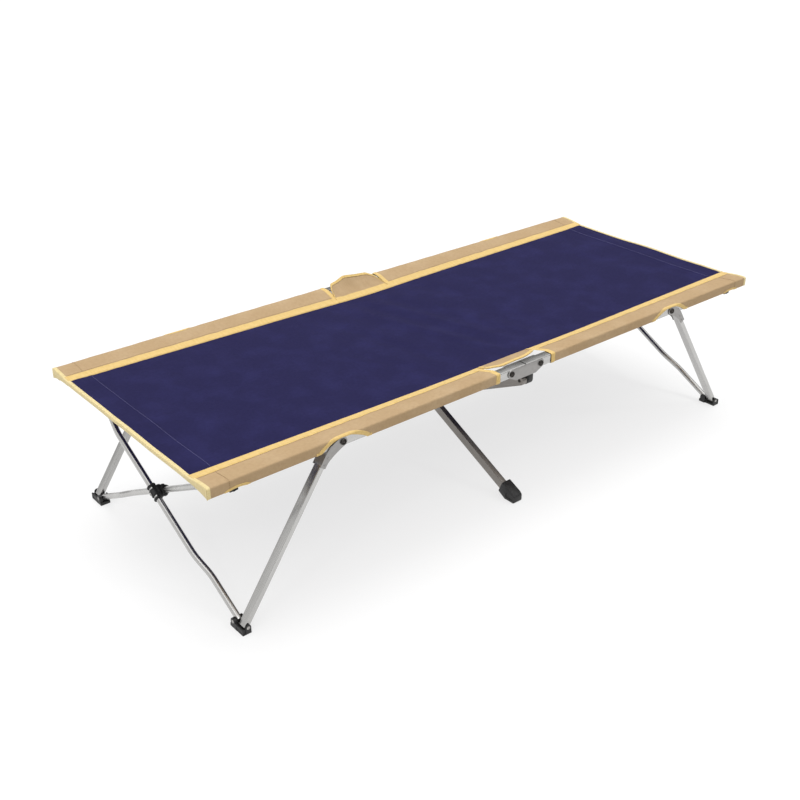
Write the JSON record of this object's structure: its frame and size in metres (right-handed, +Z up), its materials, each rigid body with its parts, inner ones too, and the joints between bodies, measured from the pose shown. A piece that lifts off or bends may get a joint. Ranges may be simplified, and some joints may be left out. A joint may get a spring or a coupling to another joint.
{
  "type": "folding camp cot",
  "caption": "Folding camp cot with a taut fabric bed on jointed side rails, splayed corner legs, crossed end tubes and a crossed middle leg pair.",
  "frame": {"origin": "on the floor under the middle of the bed, at the centre of the box around the cot", "axes": "+X along the bed, +Y across it towards the far side, +Z up"},
  "size_m": [1.9, 0.768, 0.436],
  "materials": {
    "bright_tube": "satin anodised tube with a soft lengthwise grain",
    "dark_tube": "satin grey anodised flat tube",
    "bracket_metal": "stamped plate, satin silver",
    "rivet_metal": "dark domed rivet",
    "black_plastic": "moulded nylon, fine satin texture",
    "bed_fabric": "coated navy oxford weave, matt",
    "sleeve_fabric": "tan oxford weave with pale yellow binding tape"
  },
  "bodies": {
    "centre": {"centre_bracket_near": "bracket_metal", "middle_knuckle_near": "black_plastic", "centre_rivet_near_left": "rivet_metal", "centre_rivet_near_right": "rivet_metal", "bed_centre": "bed_fabric", "flap_near": "sleeve_fabric"},
    "rail_near_left": {"rail_near_left": "bright_tube", "leg_rivet_near_left": "rivet_metal", "rail_hanger_near_left": "black_plastic", "sleeve_near_left": "sleeve_fabric", "bed_left": "bed_fabric"},
    "rail_near_right": {"rail_near_right": "bright_tube", "leg_rivet_near_right": "rivet_metal", "rail_hanger_near_right": "black_plastic", "sleeve_near_right": "sleeve_fabric", "bed_right": "bed_fabric"},
    "rail_far_left": {"rail_far_left": "bright_tube", "leg_rivet_far_left": "rivet_metal", "rail_hanger_far_left": "black_plastic", "sleeve_far_left": "sleeve_fabric"},
    "rail_far_right": {"rail_far_right": "bright_tube", "leg_rivet_far_right": "rivet_metal", "rail_hanger_far_right": "black_plastic", "sleeve_far_right": "sleeve_fabric"},
    "far_bracket": {"centre_bracket_far": "bracket_metal", "middle_knuckle_far": "black_plastic", "centre_rivet_far_left": "rivet_metal", "centre_rivet_far_right": "rivet_metal", "flap_far": "sleeve_fabric"},
    "middle_leg_far": {"middle_leg_far": "dark_tube", "middle_foot_far": "black_plastic", "middle_hub_pin": "rivet_metal"},
    "middle_leg_near": {"middle_leg_near": "dark_tube", "middle_foot_near": "black_plastic"},
    "leg_near_left": {"leg_tube_near_left": "bright_tube", "leg_bracket_near_left": "bracket_metal"},
    "knuckle_near_left": {"rail_knuckle_near_left": "black_plastic"},
    "cross_near_left": {"cross_tube_near_left": "bright_tube", "hub_clamp_near_left": "black_plastic"},
    "foot_near_left": {"corner_foot_near_left": "black_plastic"},
    "leg_near_right": {"leg_tube_near_right": "bright_tube", "leg_bracket_near_right": "bracket_metal"},
    "knuckle_near_right": {"rail_knuckle_near_right": "black_plastic"},
    "cross_near_right": {"cross_tube_near_right": "bright_tube", "hub_clamp_near_right": "black_plastic"},
    "foot_near_right": {"corner_foot_near_right": "black_plastic"},
    "leg_far_left": {"leg_tube_far_left": "bright_tube", "leg_bracket_far_left": "bracket_metal"},
    "knuckle_far_left": {"rail_knuckle_far_left": "black_plastic"},
    "cross_far_left": {"cross_tube_far_left": "bright_tube", "hub_clamp_far_left": "black_plastic"},
    "foot_far_left": {"corner_foot_far_left": "black_plastic"},
    "leg_far_right": {"leg_tube_far_right": "bright_tube", "leg_bracket_far_right": "bracket_metal"},
    "knuckle_far_right": {"rail_knuckle_far_right": "black_plastic"},
    "cross_far_right": {"cross_tube_far_right": "bright_tube", "hub_clamp_far_right": "black_plastic"},
    "foot_far_right": {"corner_foot_far_right": "black_plastic"}
  },
  "joints": [
    {"name": "side_fold", "type": "hinge", "parent": "centre", "child": "middle_leg_far", "pos_m": [0.009, -0.355, 0.358], "axis": [-1, 0, 0], "range_deg": [0, 53.68], "deforming": ["bed_left", "bed_centre", "bed_right"]},
    {"name": "middle_scissor", "type": "hinge", "parent": "middle_leg_far", "child": "middle_leg_near", "pos_m": [0, 0, 0.18639], "axis": [1, 0, 0], "range_deg": [0, 107.36]},
    {"name": "far_bracket_pivot", "type": "hinge", "parent": "middle_leg_near", "child": "far_bracket", "pos_m": [-0.009, 0.355, 0.358], "axis": [-1, 0, 0], "range_deg": [0, 53.68]},
    {"name": "rail_fold", "type": "hinge", "parent": "centre", "child": "rail_near_left", "pos_m": [-0.0525, -0.364, 0.403], "axis": [0, -1, 0], "range_deg": [0, 60], "deforming": ["flap_near", "flap_far"]},
    {"name": "rail_hinge_near_right", "type": "hinge", "parent": "centre", "child": "rail_near_right", "pos_m": [0.0525, -0.364, 0.403], "axis": [0, 1, 0], "range_deg": [0, 60]},
    {"name": "rail_hinge_far_left", "type": "hinge", "parent": "far_bracket", "child": "rail_far_left", "pos_m": [-0.0525, 0.364, 0.403], "axis": [0, -1, 0], "range_deg": [0, 60]},
    {"name": "rail_hinge_far_right", "type": "hinge", "parent": "far_bracket", "child": "rail_far_right", "pos_m": [0.0525, 0.364, 0.403], "axis": [0, 1, 0], "range_deg": [0, 60]},
    {"name": "leg_hinge_near_left", "type": "hinge", "parent": "rail_near_left", "child": "leg_near_left", "pos_m": [-0.592, -0.364, 0.403], "axis": [0, -1, 0], "range_deg": [0, 123.97]},
    {"name": "knuckle_swivel_near_left", "type": "hinge", "parent": "rail_near_left", "child": "knuckle_near_left", "pos_m": [-0.877, -0.34, 0.3835], "axis": [0, -1, 0], "range_deg": [0, 89.87]},
    {"name": "leg_hinge_near_right", "type": "hinge", "parent": "rail_near_right", "child": "leg_near_right", "pos_m": [0.592, -0.364, 0.403], "axis": [0, 1, 0], "range_deg": [0, 123.97]},
    {"name": "knuckle_swivel_near_right", "type": "hinge", "parent": "rail_near_right", "child": "knuckle_near_right", "pos_m": [0.877, -0.34, 0.3835], "axis": [0, 1, 0], "range_deg": [0, 89.87]},
    {"name": "leg_hinge_far_left", "type": "hinge", "parent": "rail_far_left", "child": "leg_far_left", "pos_m": [-0.592, 0.364, 0.403], "axis": [0, -1, 0], "range_deg": [0, 123.97]},
    {"name": "knuckle_swivel_far_left", "type": "hinge", "parent": "rail_far_left", "child": "knuckle_far_left", "pos_m": [-0.877, 0.34, 0.3835], "axis": [0, -1, 0], "range_deg": [0, 89.87]},
    {"name": "leg_hinge_far_right", "type": "hinge", "parent": "rail_far_right", "child": "leg_far_right", "pos_m": [0.592, 0.364, 0.403], "axis": [0, 1, 0], "range_deg": [0, 123.97]},
    {"name": "knuckle_swivel_far_right", "type": "hinge", "parent": "rail_far_right", "child": "knuckle_far_right", "pos_m": [0.877, 0.34, 0.3835], "axis": [0, 1, 0], "range_deg": [0, 89.87]},
    {"name": "cross_hinge_near_left", "type": "hinge", "parent": "knuckle_far_left", "child": "cross_near_left", "pos_m": [-0.877, 0.34, 0.3835], "axis": [1, 0, 0], "range_deg": [0, 53.25]},
    {"name": "foot_pivot_near_left", "type": "hinge", "parent": "cross_near_left", "child": "foot_near_left", "pos_m": [-0.877, -0.34, 0.018], "axis": [-1, 0, 0], "range_deg": [0, 53.25]},
    {"name": "cross_hinge_near_right", "type": "hinge", "parent": "knuckle_far_right", "child": "cross_near_right", "pos_m": [0.877, 0.34, 0.3835], "axis": [1, 0, 0], "range_deg": [0, 53.25]},
    {"name": "foot_pivot_near_right", "type": "hinge", "parent": "cross_near_right", "child": "foot_near_right", "pos_m": [0.877, -0.34, 0.018], "axis": [-1, 0, 0], "range_deg": [0, 53.25]},
    {"name": "cross_hinge_far_left", "type": "hinge", "parent": "knuckle_near_left", "child": "cross_far_left", "pos_m": [-0.877, -0.34, 0.3835], "axis": [-1, 0, 0], "range_deg": [0, 53.25]},
    {"name": "foot_pivot_far_left", "type": "hinge", "parent": "cross_far_left", "child": "foot_far_left", "pos_m": [-0.877, 0.34, 0.018], "axis": [1, 0, 0], "range_deg": [0, 53.25]},
    {"name": "cross_hinge_far_right", "type": "hinge", "parent": "knuckle_near_right", "child": "cross_far_right", "pos_m": [0.877, -0.34, 0.3835], "axis": [-1, 0, 0], "range_deg": [0, 53.25]},
    {"name": "foot_pivot_far_right", "type": "hinge", "parent": "cross_far_right", "child": "foot_far_right", "pos_m": [0.877, 0.34, 0.018], "axis": [1, 0, 0], "range_deg": [0, 53.25]}
  ],
  "couplings": [
    {"joint": "middle_scissor", "follows": "side_fold", "ratio": 2},
    {"joint": "far_bracket_pivot", "follows": "side_fold", "ratio": 1},
    {"joint": "rail_hinge_near_right", "follows": "rail_fold", "ratio": 1},
    {"joint": "rail_hinge_far_left", "follows": "rail_fold", "ratio": 1},
    {"joint": "rail_hinge_far_right", "follows": "rail_fold", "ratio": 1},
    {"joint": "leg_hinge_near_left", "follows": "side_fold", "ratio": 2.3095},
    {"joint": "knuckle_swivel_near_left", "follows": "side_fold", "ratio": 1.6742},
    {"joint": "leg_hinge_near_right", "follows": "side_fold", "ratio": 2.3095},
    {"joint": "knuckle_swivel_near_right", "follows": "side_fold", "ratio": 1.6742},
    {"joint": "leg_hinge_far_left", "follows": "side_fold", "ratio": 2.3095},
    {"joint": "knuckle_swivel_far_left", "follows": "side_fold", "ratio": 1.6742},
    {"joint": "leg_hinge_far_right", "follows": "side_fold", "ratio": 2.3095},
    {"joint": "knuckle_swivel_far_right", "follows": "side_fold", "ratio": 1.6742},
    {"joint": "cross_hinge_near_left", "follows": "side_fold", "ratio": 0.99203},
    {"joint": "foot_pivot_near_left", "follows": "side_fold", "ratio": 0.99203},
    {"joint": "cross_hinge_near_right", "follows": "side_fold", "ratio": 0.99203},
    {"joint": "foot_pivot_near_right", "follows": "side_fold", "ratio": 0.99203},
    {"joint": "cross_hinge_far_left", "follows": "side_fold", "ratio": 0.99203},
    {"joint": "foot_pivot_far_left", "follows": "side_fold", "ratio": 0.99203},
    {"joint": "cross_hinge_far_right", "follows": "side_fold", "ratio": 0.99203},
    {"joint": "foot_pivot_far_right", "follows": "side_fold", "ratio": 0.99203}
  ]
}
